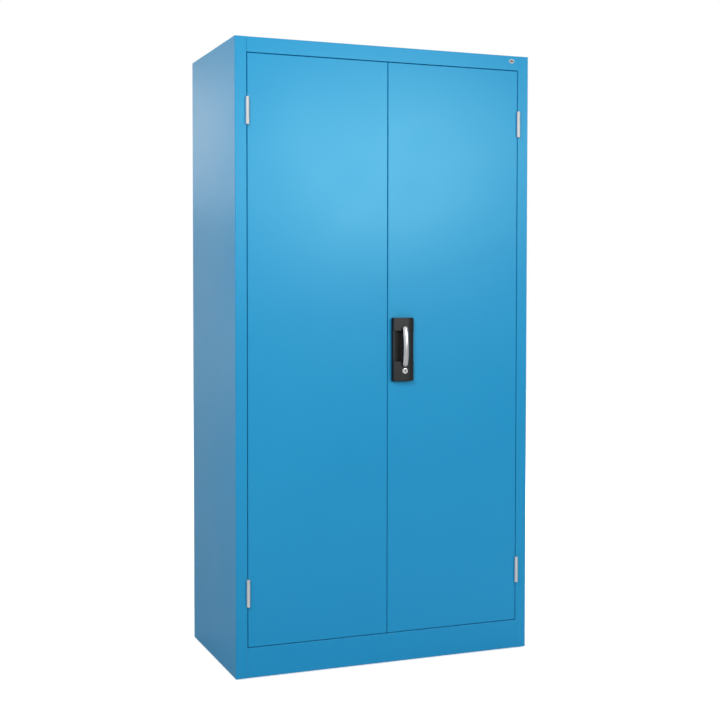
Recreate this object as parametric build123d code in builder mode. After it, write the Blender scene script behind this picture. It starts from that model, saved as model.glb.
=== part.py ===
from build123d import *

import os
from math import acos, atan, ceil, cos, floor, pi, radians, sin, sqrt, tan

# Steel tool cabinet with two hinged doors, adjustable shelves and a three-point rod lock.
# Millimetres. X runs to the right, Y to the back and Z up. The origin is on the floor, at the
# middle of the closed cabinet's width and of its depth with the grip. Doors are closed and unlocked.

# ---------------------------------------------------------------- driving dimensions

# Carcass
WIDTH = 1000.0
DEPTH = 500.0
HEIGHT = 1950.0
SHEET = 1.2
BEND = 1.6
STILE_WIDTH = 37.0
TOP_RAIL_HEIGHT = 46.5
PLINTH_HEIGHT = 92.4
PLINTH_FOLD = 20.0
REAR_FLANGE = 20.0
FLOOR_FOLD = 25.0
FLOOR_HEM = 12.0
STOP_LIP = 12.0
STIFFENER_WIDTH = 60.0
STIFFENER_DEPTH = 16.0
STIFFENER_LIP = 14.0
STIFFENER_END_GAP = 18.0

# Feet
FOOT_HEIGHT = 4.0
FOOT_TOP_DIAMETER = 11.5
FOOT_FLAT_DIAMETER = 8.0
FOOT_SIDE_INSET = 11.0
FOOT_END_INSET = 21.0
FOOT_PLATE_LENGTH = 60.0
FOOT_PLATE_THICKNESS = 3.0

# Door buffers
BUFFER_THICKNESS = 3.0
BUFFER_DIAMETER = 9.0
BUFFER_NEAR_X = 60.0
BUFFER_FAR_X = 400.0

# Uprights, clips and shelves
UPRIGHT_SHEET = 1.5
UPRIGHT_WIDTH = 30.0
UPRIGHT_LIP = 10.0
UPRIGHT_FRONT_INSET = 95.0
UPRIGHT_REAR_INSET = 65.0
SLOT_WIDTH = 4.0
SLOT_HEIGHT = 12.0
SLOT_PITCH = 25.0
SLOT_END_MARGIN = 20.0
SHELF_COUNT = 4
SHELF_STEP_SLOTS = 14
SHELF_DEPTH_FOLD = 30.0
SHELF_HEM = 12.0
SHELF_SIDE_GAP = 3.0
SHELF_FRONT_SETBACK = 40.0
SHELF_REAR_GAP = 8.0
CLIP_SHEET = 2.0
CLIP_WIDTH = 18.0
CLIP_HEIGHT = 22.0
CLIP_LEDGE = 20.0
CLIP_TONGUE_WIDTH = 3.4
CLIP_TONGUE_HEIGHT = 7.0
CLIP_HOOK_DROP = 4.0
CLIP_HOOK_GAP = 0.2

# Doors
DOOR_GAP = 2.0
DOOR_DEPTH = 20.0
DOOR_HEM = 14.0

# Hinges
BARREL_DIAMETER = 10.5
HINGE_LENGTH = 83.0
HINGE_TOP_INSET = 173.0
HINGE_BOTTOM_INSET = 167.2
HINGE_WASHER = 1.0
HINGE_CAP = 3.0
HINGE_FACE_GAP = 0.3
PIN_DIAMETER = 6.0
PIN_END_GAP = 0.4
LEAF_THICKNESS = 1.5
LEAF_REACH = 18.0
RUNNING_GAP = 0.05

# Handle tray
TRAY_LEFT = 13.0
TRAY_WIDTH = 72.0
TRAY_BOTTOM = 900.0
TRAY_HEIGHT = 201.0
TRAY_PROUD = 18.0
TRAY_SHOULDER_WIDTH = 24.0
TRAY_SHOULDER_DROP = 6.0
TRAY_CHEEK_STEP = 2.5
TRAY_CORNER = 4.0
TRAY_EDGE = 1.8
TRAY_WALL = 3.0
LOWER_PANEL_HEIGHT = 63.0
RECESS_HEIGHT = 96.0
RECESS_LEFT_CHEEK = 4.5
RECESS_RIGHT_CHEEK = 18.0
RECESS_FLOOR = 4.0
RECESS_FLOOR_WIDTH = 18.0
RECESS_WALL_SLOPE = 4.0
RECESS_RADIUS = 4.0
RECESS_EDGE = 0.5

# Bow grip
BOW_X = 51.0
BOW_LOW_INSET = 46.0
BOW_LENGTH = 129.0
BOW_WIDTH = 18.0
BOW_THICKNESS = 11.0
BOW_RISE = 7.5
BOW_TIP_LIFT = 0.6
BOW_POST_DIAMETER = 10.0
BOW_POST_INSET = 7.0

# Fixing screws of the grip and the tray
BOW_SCREW_DIAMETER = 5.0
BOW_SCREW_HEAD = 9.0
BOW_SCREW_HEAD_HEIGHT = 3.0
TRAY_SCREW_DIAMETER = 4.0
TRAY_SCREW_HEAD = 7.5
TRAY_SCREW_HEAD_HEIGHT = 2.4
TRAY_SCREW_INSET = 11.0
TRAY_SCREW_END_INSET = 15.0
SCREW_GAP = 0.1
SCREW_BOSS_WALL = 2.5

# Lock cylinder
LOCK_X = 52.5
LOCK_RISE = 33.0
RING_DIAMETER = 18.5
RING_PROUD = 2.0
HOUSING_DIAMETER = 14.0
PLUG_DIAMETER = 10.0
PLUG_RECESS = 0.4
KEYWAY_WIDTH = 2.4
KEYWAY_HEIGHT = 7.8
KEYWAY_DEPTH = 12.0
NUT_ACROSS_FLATS = 19.0
NUT_THICKNESS = 3.0
FIT_GAP = 0.2

# Lock works behind the door skin
KEY_TURN_DEGREES = 180.0
PINION_MODULE = 1.0
PINION_TEETH = 14
PRESSURE_ANGLE = 20.0
TOOTH_ADDENDUM = 0.8
TOOTH_DEDENDUM = 1.05
TOOTH_BACKLASH = 0.3
TAIL_SQUARE = 5.0
TAIL_END_DIAMETER = 4.8
CASE_PLATE = 1.5
CASE_SIDE_REACH = 23.0
CASE_TOP_REACH = 13.0
CASE_BOTTOM_REACH = 28.0
CASE_POST_DIAMETER = 5.6
CASE_POST_INSET = 3.2
CASE_SCREW_DIAMETER = 3.0
CASE_SCREW_HEAD = 5.4
CASE_SCREW_HEAD_HEIGHT = 1.6
PLUG_CLIP_DIAMETER = 9.0
PLUG_CLIP_THICKNESS = 0.8
LAYER_GAP = 0.5

# Rods and bolt
ROD_WIDTH = 8.0
ROD_THICKNESS = 3.0
BOLT_HEIGHT = 10.0
ROD_TIP_INSET = 0.6
ROD_HOLE_GAP = 0.6
ENGAGED_TEETH = 2
GUIDE_WALL = 6.0
GUIDE_HEIGHT = 14.0
GUIDE_BACK_WALL = 3.0
GUIDE_GAP = 0.3
UPPER_GUIDES_Z = (1200.0, 1720.0)
LOWER_GUIDES_Z = (300.0, 780.0)

# Keepers
KEEPER_THICKNESS = 2.0
KEEPER_LENGTH = 40.0
KEEPER_WIDTH = 14.0

# Badge plate
BADGE_LENGTH = 18.0
BADGE_HEIGHT = 13.0
BADGE_THICKNESS = 1.0
BADGE_RIM = 2.2
BADGE_SINK = 0.4
BADGE_SIDE_INSET = 61.3
BADGE_DROP = 17.4

# ---------------------------------------------------------------- places worked out from them

GRIP_REACH = TRAY_PROUD + BOW_THICKNESS + BOW_RISE
FRONT = (GRIP_REACH - DEPTH) / 2
BACK = FRONT + DEPTH
MIDDLE = (FRONT + BACK) / 2
HALF_WIDTH = WIDTH / 2
HALF_OPENING = HALF_WIDTH - STILE_WIDTH
INNER_SIDE = HALF_WIDTH - SHEET
INNER_BACK = BACK - 2 * SHEET
ROOF_UNDERSIDE = HEIGHT - SHEET
STOP_FACE = FRONT + DOOR_DEPTH + BUFFER_THICKNESS
PLINTH_TOP = FOOT_HEIGHT + PLINTH_HEIGHT
FLOOR_TOP = PLINTH_TOP + STOP_LIP
RAIL_BOTTOM = HEIGHT - TOP_RAIL_HEIGHT
HEAD_BOTTOM = RAIL_BOTTOM - STOP_LIP

DOOR_BOTTOM = PLINTH_TOP + DOOR_GAP
DOOR_TOP = RAIL_BOTTOM - DOOR_GAP
DOOR_HEIGHT = DOOR_TOP - DOOR_BOTTOM
DOOR_OUTER_EDGE = HALF_OPENING - DOOR_GAP
DOOR_INNER_EDGE = DOOR_GAP / 2
DOOR_WIDTH = DOOR_OUTER_EDGE - DOOR_INNER_EDGE
DOOR_MIDDLE_X = (DOOR_OUTER_EDGE + DOOR_INNER_EDGE) / 2
DOOR_MIDDLE_Z = (DOOR_TOP + DOOR_BOTTOM) / 2
SKIN_BACK = FRONT + SHEET

HINGE_X = HALF_OPENING - DOOR_GAP / 2
HINGE_Y = FRONT - BARREL_DIAMETER / 2 - HINGE_FACE_GAP
HINGE_HEIGHTS = (DOOR_BOTTOM + HINGE_BOTTOM_INSET, DOOR_TOP - HINGE_TOP_INSET)
KNUCKLE_LENGTH = (HINGE_LENGTH - HINGE_WASHER) / 2

TRAY_RIGHT = TRAY_LEFT + TRAY_WIDTH
TRAY_TOP = TRAY_BOTTOM + TRAY_HEIGHT
TRAY_FACE = FRONT - TRAY_PROUD
RECESS_BOTTOM = TRAY_BOTTOM + LOWER_PANEL_HEIGHT
RECESS_TOP = RECESS_BOTTOM + RECESS_HEIGHT
BOW_BOTTOM = TRAY_BOTTOM + BOW_LOW_INSET
BOW_TOP = BOW_BOTTOM + BOW_LENGTH
BOW_TIP = BOW_WIDTH / 2
BOW_POST_LOW = BOW_BOTTOM + BOW_POST_INSET
BOW_POST_HIGH = BOW_TOP - BOW_POST_INSET
BOW_SEAT_Y = TRAY_FACE - BOW_THICKNESS / 2
LOCK_Z = TRAY_BOTTOM + LOCK_RISE

PITCH_RADIUS = PINION_MODULE * PINION_TEETH / 2
TOOTH_PITCH = pi * PINION_MODULE
TRAVEL = PITCH_RADIUS * radians(KEY_TURN_DEGREES)
RACK_ROOT = PITCH_RADIUS + TOOTH_DEDENDUM * PINION_MODULE
RACK_SPARE = ENGAGED_TEETH * TOOTH_PITCH

# The works lie in layers behind the skin: case plate, nut, rods, bolt, cover.
CASE_BACK = SKIN_BACK + CASE_PLATE
NUT_BACK = CASE_BACK + NUT_THICKNESS
ROD_FRONT = NUT_BACK + LAYER_GAP
ROD_BACK = ROD_FRONT + ROD_THICKNESS
BOLT_FRONT = ROD_BACK + LAYER_GAP
BOLT_BACK = BOLT_FRONT + ROD_THICKNESS
COVER_FRONT = BOLT_BACK + LAYER_GAP
COVER_BACK = COVER_FRONT + CASE_PLATE
ROD_Y = (ROD_FRONT + ROD_BACK) / 2
BOLT_Y = (BOLT_FRONT + BOLT_BACK) / 2
UPPER_ROD_X = LOCK_X - RACK_ROOT - ROD_WIDTH / 2
LOWER_ROD_X = LOCK_X + RACK_ROOT + ROD_WIDTH / 2
BOLT_Z = LOCK_Z - RACK_ROOT - BOLT_HEIGHT / 2

SHELF_HALF_WIDTH = HALF_OPENING - SHELF_SIDE_GAP
SHELF_FRONT = FRONT + SHELF_FRONT_SETBACK
SHELF_BACK = INNER_BACK - SHELF_REAR_GAP
UPRIGHT_FRONT_Y = FRONT + UPRIGHT_FRONT_INSET
UPRIGHT_REAR_Y = BACK - UPRIGHT_REAR_INSET
UPRIGHT_HEIGHT = ROOF_UNDERSIDE - FLOOR_TOP
SLOT_COUNT = floor((UPRIGHT_HEIGHT - 2 * SLOT_END_MARGIN) / SLOT_PITCH) + 1
SHELF_SLOT_HEIGHTS = [
    FLOOR_TOP + SLOT_END_MARGIN + SLOT_PITCH * (SHELF_STEP_SLOTS * (number + 1) - 1)
    for number in range(SHELF_COUNT)
]
CLIP_TOP_ABOVE_SLOT = CLIP_HEIGHT / 2

os.makedirs("parts", exist_ok=True)


# ---------------------------------------------------------------- shapes used more than once

def folded(points, side, thickness=SHEET):
    """Section of a sheet bent along an outline, with its thickness on one side of it."""
    with BuildSketch() as section:
        with BuildLine():
            FilletPolyline(*points, radius=BEND)
            offset(amount=thickness, side=side)
        make_face()
    return section.sketch


def pan(plane, length, height, depth, hem):
    """Sheet pan whose face lies on a plane, with its edges folded back and hemmed inward."""
    with BuildPart() as tray:
        with BuildSketch(plane):
            Rectangle(length, height)
        extrude(amount=-SHEET)
        with BuildSketch(plane):
            Rectangle(length, height)
            Rectangle(length - 2 * SHEET, height - 2 * SHEET, mode=Mode.SUBTRACT)
        extrude(amount=-depth)
        with BuildSketch(plane.offset(-depth)):
            Rectangle(length, height)
            Rectangle(length - 2 * hem, height - 2 * hem, mode=Mode.SUBTRACT)
        extrude(amount=SHEET)
        fillet(tray.edges().group_by(Axis(plane.origin, plane.z_dir))[-1], radius=BEND)
    return tray.part


def knuckle(low, leaf_x, open_end):
    """Half of a right-hand hinge barrel with its leaf; the bore is open at one end only."""
    with BuildPart() as half:
        with BuildSketch(Plane.XY.offset(low)):
            with Locations((HINGE_X, HINGE_Y)):
                Circle(BARREL_DIAMETER / 2)
            with Locations((leaf_x, HINGE_Y)):
                Rectangle(
                    LEAF_THICKNESS,
                    FRONT + LEAF_REACH - HINGE_Y,
                    align=(Align.MIN, Align.MIN),
                )
        extrude(amount=KNUCKLE_LENGTH)
        bore_low = low + (HINGE_CAP if open_end == "top" else 0)
        with BuildSketch(Plane.XY.offset(bore_low)):
            with Locations((HINGE_X, HINGE_Y)):
                Circle(PIN_DIAMETER / 2 + RUNNING_GAP)
        extrude(amount=KNUCKLE_LENGTH - HINGE_CAP, mode=Mode.SUBTRACT)
    return half.part


def stiffener_line(middle, face, away):
    """Outline of a top-hat stiffener that is welded to a face and stands away from it."""
    half = STIFFENER_WIDTH / 2
    return [
        (middle - half - STIFFENER_LIP, face),
        (middle - half, face),
        (middle - half, face + away * (STIFFENER_DEPTH - SHEET)),
        (middle + half, face + away * (STIFFENER_DEPTH - SHEET)),
        (middle + half, face),
        (middle + half + STIFFENER_LIP, face),
    ]


def tray_section(step):
    """Section of the handle tray across X, lowered by a step: flat face and sloping shoulder."""
    face = TRAY_FACE + step
    shoulder = TRAY_RIGHT - TRAY_SHOULDER_WIDTH
    with BuildSketch() as section:
        with BuildLine():
            Polyline(
                (shoulder, face),
                (TRAY_LEFT, face),
                (TRAY_LEFT, FRONT),
                (TRAY_RIGHT, FRONT),
                (TRAY_RIGHT, face + TRAY_SHOULDER_DROP),
            )
            TangentArc((shoulder, face), (TRAY_RIGHT, face + TRAY_SHOULDER_DROP), tangent=(1, 0))
        make_face()
    return section.sketch


def involute_point(radius, base_turn):
    """Point at a radius on the tooth flank that leaves the base circle at an angle."""
    base = PITCH_RADIUS * cos(radians(PRESSURE_ANGLE))
    roll = tan(acos(base / radius))
    angle = base_turn - (roll - atan(roll))
    return (radius * cos(angle), radius * sin(angle))


def pinion_tooth():
    """Outline of one pinion tooth on the X axis, from inside its root to its tip."""
    alpha = radians(PRESSURE_ANGLE)
    base = PITCH_RADIUS * cos(alpha)
    tip = PITCH_RADIUS + TOOTH_ADDENDUM * PINION_MODULE
    inside = PITCH_RADIUS - 2 * TOOTH_DEDENDUM * PINION_MODULE
    half_turn = pi / (2 * PINION_TEETH) - TOOTH_BACKLASH / (4 * PITCH_RADIUS)
    base_turn = half_turn + tan(alpha) - alpha
    upper = [involute_point(base + (tip - base) * share / 3, base_turn) for share in range(4)]
    lower = [(x, -y) for x, y in upper]
    with BuildSketch() as section:
        with BuildLine():
            Spline(*upper)
            ThreePointArc(upper[-1], (tip, 0), lower[-1])
            Spline(*lower[::-1])
            Polyline(
                lower[0],
                (inside * cos(base_turn), -inside * sin(base_turn)),
                (inside * cos(base_turn), inside * sin(base_turn)),
                upper[0],
            )
        make_face()
    return section.sketch


def rack_tooth():
    """Outline of one rack tooth that points along +X, with its pitch line on the Y axis."""
    addendum = TOOTH_ADDENDUM * PINION_MODULE
    dedendum = TOOTH_DEDENDUM * PINION_MODULE
    half = (TOOTH_PITCH - TOOTH_BACKLASH) / 4
    slope = tan(radians(PRESSURE_ANGLE))
    with BuildSketch() as section:
        with BuildLine():
            Polyline(
                (-dedendum, -half - dedendum * slope),
                (addendum, -half + addendum * slope),
                (addendum, half - addendum * slope),
                (-dedendum, half + dedendum * slope),
                close=True,
            )
        make_face()
    return section.sketch


def rack_places(bearing, low, high):
    """Places of rack teeth, from low to high, that mesh with the pinion at a bearing in degrees."""
    phase = (0.5 - PINION_TEETH * bearing / 360) % 1
    first = ceil(low / TOOTH_PITCH - phase)
    last = floor(high / TOOTH_PITCH - phase)
    return [(number + phase) * TOOTH_PITCH for number in range(first, last + 1)]


# ---------------------------------------------------------------- carcass

side_section = folded(
    [
        (HALF_OPENING - STOP_LIP, STOP_FACE),
        (HALF_OPENING, STOP_FACE),
        (HALF_OPENING, FRONT),
        (HALF_WIDTH, FRONT),
        (HALF_WIDTH, BACK),
        (HALF_WIDTH - REAR_FLANGE, BACK),
    ],
    Side.LEFT,
)
with BuildPart() as right_side_panel:
    with BuildSketch(Plane.XY.offset(FOOT_HEIGHT)):
        add(side_section)
    extrude(amount=ROOF_UNDERSIDE - FOOT_HEIGHT)
    # The stop lip is cut away where the top rail and the plinth rail pass.
    for low, high in ((FOOT_HEIGHT, FLOOR_TOP), (HEAD_BOTTOM, ROOF_UNDERSIDE)):
        with Locations((HALF_OPENING, STOP_FACE - BEND, low)):
            Box(
                STOP_LIP,
                BEND + SHEET,
                high - low,
                align=(Align.MAX, Align.MIN, Align.MIN),
                mode=Mode.SUBTRACT,
            )
right_side_panel.part.label = "right_side_panel"
export_step(right_side_panel.part, "parts/right_side_panel.step")

with BuildPart() as left_side_panel:
    mirror(right_side_panel.part, about=Plane.YZ)
left_side_panel.part.label = "left_side_panel"
export_step(left_side_panel.part, "parts/left_side_panel.step")

top_section = folded(
    [
        (STOP_FACE, HEAD_BOTTOM),
        (STOP_FACE, RAIL_BOTTOM),
        (FRONT, RAIL_BOTTOM),
        (FRONT, HEIGHT),
        (BACK, HEIGHT),
    ],
    Side.RIGHT,
)
with BuildPart() as top_panel:
    with BuildSketch(Plane.YZ):
        add(top_section)
    extrude(amount=HALF_OPENING, both=True)
    with BuildSketch(Plane.XY.offset(ROOF_UNDERSIDE)):
        with Locations((0, MIDDLE)):
            Rectangle(WIDTH, DEPTH)
            Rectangle(2 * HALF_OPENING, DEPTH, mode=Mode.SUBTRACT)
    extrude(amount=SHEET)
    with BuildSketch(Plane.XY.offset(RAIL_BOTTOM)):
        with Locations((UPPER_ROD_X, ROD_Y)):
            Rectangle(ROD_WIDTH + 2 * ROD_HOLE_GAP, ROD_THICKNESS + 2 * ROD_HOLE_GAP)
    extrude(amount=SHEET, mode=Mode.SUBTRACT)
top_panel.part.label = "top_panel"
export_step(top_panel.part, "parts/top_panel.step")

plinth_section = folded(
    [
        (FRONT + PLINTH_FOLD, FOOT_HEIGHT),
        (FRONT, FOOT_HEIGHT),
        (FRONT, PLINTH_TOP),
        (STOP_FACE, PLINTH_TOP),
        (STOP_FACE, FLOOR_TOP),
    ],
    Side.RIGHT,
)
with BuildPart() as plinth_rail:
    with BuildSketch(Plane.YZ):
        add(plinth_section)
    extrude(amount=HALF_OPENING, both=True)
    with BuildSketch(Plane.XY.offset(PLINTH_TOP)):
        with Locations((LOWER_ROD_X, ROD_Y)):
            Rectangle(ROD_WIDTH + 2 * ROD_HOLE_GAP, ROD_THICKNESS + 2 * ROD_HOLE_GAP)
    extrude(amount=-SHEET, mode=Mode.SUBTRACT)
plinth_rail.part.label = "plinth_rail"
export_step(plinth_rail.part, "parts/plinth_rail.step")

floor_front = STOP_FACE + SHEET
floor_plane = Plane((0, (floor_front + INNER_BACK) / 2, FLOOR_TOP))
floor_pan = pan(floor_plane, 2 * INNER_SIDE, INNER_BACK - floor_front, FLOOR_FOLD, FLOOR_HEM)
with BuildPart() as floor_panel:
    add(floor_pan)
floor_panel.part.label = "floor_panel"
export_step(floor_panel.part, "parts/floor_panel.step")

with BuildPart() as back_panel:
    with Locations((0, INNER_BACK, FOOT_HEIGHT)):
        Box(
            2 * (HALF_WIDTH - BEND),
            SHEET,
            ROOF_UNDERSIDE - FOOT_HEIGHT,
            align=(Align.CENTER, Align.MIN, Align.MIN),
        )
back_panel.part.label = "back_panel"
export_step(back_panel.part, "parts/back_panel.step")

roof_hat = folded(stiffener_line(MIDDLE, ROOF_UNDERSIDE, -1), Side.RIGHT)
with BuildPart() as roof_stiffener:
    with BuildSketch(Plane.YZ):
        add(roof_hat)
    extrude(amount=INNER_SIDE - STIFFENER_END_GAP, both=True)
roof_stiffener.part.label = "roof_stiffener"
export_step(roof_stiffener.part, "parts/roof_stiffener.step")

# ---------------------------------------------------------------- feet

FOOT_SPOTS = [
    (side * (HALF_WIDTH - FOOT_SIDE_INSET), end)
    for side in (-1, 1)
    for end in (FRONT + FOOT_END_INSET, BACK - FOOT_END_INSET)
]
with BuildPart() as foot_plates:
    for side in (-1, 1):
        plate_x = side * (HALF_WIDTH + HALF_OPENING) / 2
        with Locations(
            (plate_x, FRONT + BEND + FOOT_PLATE_LENGTH / 2, FOOT_HEIGHT),
            (plate_x, INNER_BACK - FOOT_PLATE_LENGTH / 2, FOOT_HEIGHT),
        ):
            Box(
                STILE_WIDTH - 2 * BEND,
                FOOT_PLATE_LENGTH,
                FOOT_PLATE_THICKNESS,
                align=(Align.CENTER, Align.CENTER, Align.MIN),
            )
foot_plates.part.label = "foot_plates"
export_step(foot_plates.part, "parts/foot_plates.step")

with BuildPart() as foot_pads:
    with Locations(*[(x, y, FOOT_HEIGHT / 2) for x, y in FOOT_SPOTS]):
        Cone(
            FOOT_FLAT_DIAMETER / 2,
            FOOT_TOP_DIAMETER / 2,
            FOOT_HEIGHT,
        )
foot_pads.part.label = "foot_pads"
export_step(foot_pads.part, "parts/foot_pads.step")

# ---------------------------------------------------------------- uprights, clips and shelves

upright_web = HALF_OPENING + UPRIGHT_SHEET
for place, upright_y in (("front", UPRIGHT_FRONT_Y), ("rear", UPRIGHT_REAR_Y)):
    upright_hat = folded(
        [
            (INNER_SIDE, upright_y - UPRIGHT_WIDTH / 2 - UPRIGHT_LIP),
            (INNER_SIDE, upright_y - UPRIGHT_WIDTH / 2),
            (upright_web, upright_y - UPRIGHT_WIDTH / 2),
            (upright_web, upright_y + UPRIGHT_WIDTH / 2),
            (INNER_SIDE, upright_y + UPRIGHT_WIDTH / 2),
            (INNER_SIDE, upright_y + UPRIGHT_WIDTH / 2 + UPRIGHT_LIP),
        ],
        Side.LEFT,
        UPRIGHT_SHEET,
    )
    with BuildPart() as right_upright:
        with BuildSketch(Plane.XY.offset(FLOOR_TOP)):
            add(upright_hat)
        extrude(amount=UPRIGHT_HEIGHT)
        slots_middle = FLOOR_TOP + SLOT_END_MARGIN + SLOT_PITCH * (SLOT_COUNT - 1) / 2
        with BuildSketch(Plane((HALF_OPENING, upright_y, slots_middle), (0, 1, 0), (1, 0, 0))):
            with GridLocations(SLOT_PITCH, SLOT_PITCH, 1, SLOT_COUNT):
                Rectangle(SLOT_WIDTH, SLOT_HEIGHT)
        extrude(amount=UPRIGHT_SHEET, mode=Mode.SUBTRACT)
    right_upright.part.label = f"right_{place}_upright"
    export_step(right_upright.part, f"parts/right_{place}_upright.step")

    with BuildPart() as left_upright:
        mirror(right_upright.part, about=Plane.YZ)
    left_upright.part.label = f"left_{place}_upright"
    export_step(left_upright.part, f"parts/left_{place}_upright.step")

with BuildPart() as clip:
    with BuildSketch(Plane.XZ):
        with BuildLine():
            Polyline(
                (HALF_OPENING, -CLIP_HEIGHT / 2),
                (HALF_OPENING, CLIP_HEIGHT / 2),
                (HALF_OPENING - CLIP_LEDGE, CLIP_HEIGHT / 2),
                (HALF_OPENING - CLIP_LEDGE, CLIP_HEIGHT / 2 - CLIP_SHEET),
                (HALF_OPENING - CLIP_SHEET, CLIP_HEIGHT / 2 - CLIP_SHEET),
                (HALF_OPENING - CLIP_SHEET, -CLIP_HEIGHT / 2),
                close=True,
            )
        make_face()
    extrude(amount=CLIP_WIDTH / 2, both=True)
    hook_front = upright_web + CLIP_HOOK_GAP
    tongue_low = -CLIP_TONGUE_HEIGHT / 2
    with BuildSketch(Plane.XZ):
        with BuildLine():
            Polyline(
                (HALF_OPENING, CLIP_TONGUE_HEIGHT / 2),
                (hook_front + CLIP_SHEET, CLIP_TONGUE_HEIGHT / 2),
                (hook_front + CLIP_SHEET, tongue_low - CLIP_HOOK_DROP),
                (hook_front, tongue_low - CLIP_HOOK_DROP),
                (hook_front, tongue_low),
                (HALF_OPENING, tongue_low),
                close=True,
            )
        make_face()
    extrude(amount=CLIP_TONGUE_WIDTH / 2, both=True)

clip_spots = [
    (0, clip_y, slot_z)
    for clip_y in (UPRIGHT_FRONT_Y, UPRIGHT_REAR_Y)
    for slot_z in SHELF_SLOT_HEIGHTS
]
with BuildPart() as shelf_clips:
    with Locations(*clip_spots):
        add(clip.part)
    mirror(about=Plane.YZ)
shelf_clips.part.label = "shelf_clips"
export_step(shelf_clips.part, "parts/shelf_clips.step")

for number, slot_z in enumerate(SHELF_SLOT_HEIGHTS, 1):
    shelf_top = slot_z + CLIP_TOP_ABOVE_SLOT + SHELF_DEPTH_FOLD
    shelf_plane = Plane((0, (SHELF_FRONT + SHELF_BACK) / 2, shelf_top))
    shelf_length = 2 * SHELF_HALF_WIDTH
    shelf_pan = pan(
        shelf_plane, shelf_length, SHELF_BACK - SHELF_FRONT, SHELF_DEPTH_FOLD, SHELF_HEM
    )
    with BuildPart() as shelf:
        add(shelf_pan)
    shelf.part.label = f"shelf_{number}"
    export_step(shelf.part, f"parts/shelf_{number}.step")

# ---------------------------------------------------------------- door stops and keepers

buffer_spots = [
    (side * x, z)
    for side in (-1, 1)
    for x in (BUFFER_NEAR_X, BUFFER_FAR_X)
    for z in (PLINTH_TOP + STOP_LIP / 2, RAIL_BOTTOM - STOP_LIP / 2)
]
with BuildPart() as door_buffers:
    with BuildSketch(Plane.XZ.offset(-STOP_FACE)):
        with Locations(*buffer_spots):
            Circle(BUFFER_DIAMETER / 2)
    extrude(amount=BUFFER_THICKNESS)
door_buffers.part.label = "door_buffers"
export_step(door_buffers.part, "parts/door_buffers.step")

keeper_slot = (ROD_WIDTH + 2 * ROD_HOLE_GAP, ROD_THICKNESS + 2 * ROD_HOLE_GAP)
with BuildPart() as top_keeper:
    with BuildSketch(Plane.XY.offset(RAIL_BOTTOM + SHEET)):
        with Locations((UPPER_ROD_X, ROD_Y)):
            Rectangle(KEEPER_LENGTH, KEEPER_WIDTH - 2 * BEND)
            Rectangle(*keeper_slot, mode=Mode.SUBTRACT)
    extrude(amount=KEEPER_THICKNESS)
top_keeper.part.label = "top_keeper"
export_step(top_keeper.part, "parts/top_keeper.step")

with BuildPart() as bottom_keeper:
    with BuildSketch(Plane.XY.offset(PLINTH_TOP - SHEET)):
        with Locations((LOWER_ROD_X, ROD_Y)):
            Rectangle(KEEPER_LENGTH, KEEPER_WIDTH - 2 * BEND)
            Rectangle(*keeper_slot, mode=Mode.SUBTRACT)
    extrude(amount=-KEEPER_THICKNESS)
bottom_keeper.part.label = "bottom_keeper"
export_step(bottom_keeper.part, "parts/bottom_keeper.step")

badge_spot = (HALF_WIDTH - BADGE_SIDE_INSET, HEIGHT - BADGE_DROP)
with BuildPart() as badge_plate:
    with BuildSketch(Plane.XZ.offset(-FRONT)):
        with Locations(badge_spot):
            Ellipse(BADGE_LENGTH / 2, BADGE_HEIGHT / 2)
    extrude(amount=BADGE_THICKNESS)
    with BuildSketch(Plane.XZ.offset(BADGE_THICKNESS - FRONT)):
        with Locations(badge_spot):
            Ellipse(BADGE_LENGTH / 2 - BADGE_RIM, BADGE_HEIGHT / 2 - BADGE_RIM)
    extrude(amount=-BADGE_SINK, mode=Mode.SUBTRACT)
badge_plate.part.label = "badge_plate"
export_step(badge_plate.part, "parts/badge_plate.step")

# ---------------------------------------------------------------- hinges

for level, hinge_z in zip(("lower", "upper"), HINGE_HEIGHTS):
    frame_half = knuckle(hinge_z - HINGE_LENGTH / 2, HALF_OPENING - LEAF_THICKNESS, "top")
    door_half = knuckle(hinge_z + HINGE_WASHER / 2, DOOR_OUTER_EDGE, "bottom")

    with BuildPart() as right_frame_knuckle:
        add(frame_half)
    right_frame_knuckle.part.label = f"right_{level}_frame_knuckle"
    export_step(right_frame_knuckle.part, f"parts/right_{level}_frame_knuckle.step")

    with BuildPart() as left_frame_knuckle:
        mirror(frame_half, about=Plane.YZ)
    left_frame_knuckle.part.label = f"left_{level}_frame_knuckle"
    export_step(left_frame_knuckle.part, f"parts/left_{level}_frame_knuckle.step")

    with BuildPart() as right_door_knuckle:
        add(door_half)
    right_door_knuckle.part.label = f"right_{level}_door_knuckle"
    export_step(right_door_knuckle.part, f"parts/right_{level}_door_knuckle.step")

    with BuildPart() as left_door_knuckle:
        mirror(door_half, about=Plane.YZ)
    left_door_knuckle.part.label = f"left_{level}_door_knuckle"
    export_step(left_door_knuckle.part, f"parts/left_{level}_door_knuckle.step")

hinge_spots = [(side * HINGE_X, HINGE_Y, z) for side in (-1, 1) for z in HINGE_HEIGHTS]
with BuildPart() as hinge_pins:
    with Locations(*hinge_spots):
        Cylinder(PIN_DIAMETER / 2, HINGE_LENGTH - 2 * HINGE_CAP - PIN_END_GAP)
hinge_pins.part.label = "hinge_pins"
export_step(hinge_pins.part, "parts/hinge_pins.step")

with BuildPart() as hinge_washers:
    with Locations(*hinge_spots):
        Cylinder(BARREL_DIAMETER / 2, HINGE_WASHER)
        Cylinder(PIN_DIAMETER / 2 + RUNNING_GAP, HINGE_WASHER, mode=Mode.SUBTRACT)
hinge_washers.part.label = "hinge_washers"
export_step(hinge_washers.part, "parts/hinge_washers.step")

# ---------------------------------------------------------------- doors

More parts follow.
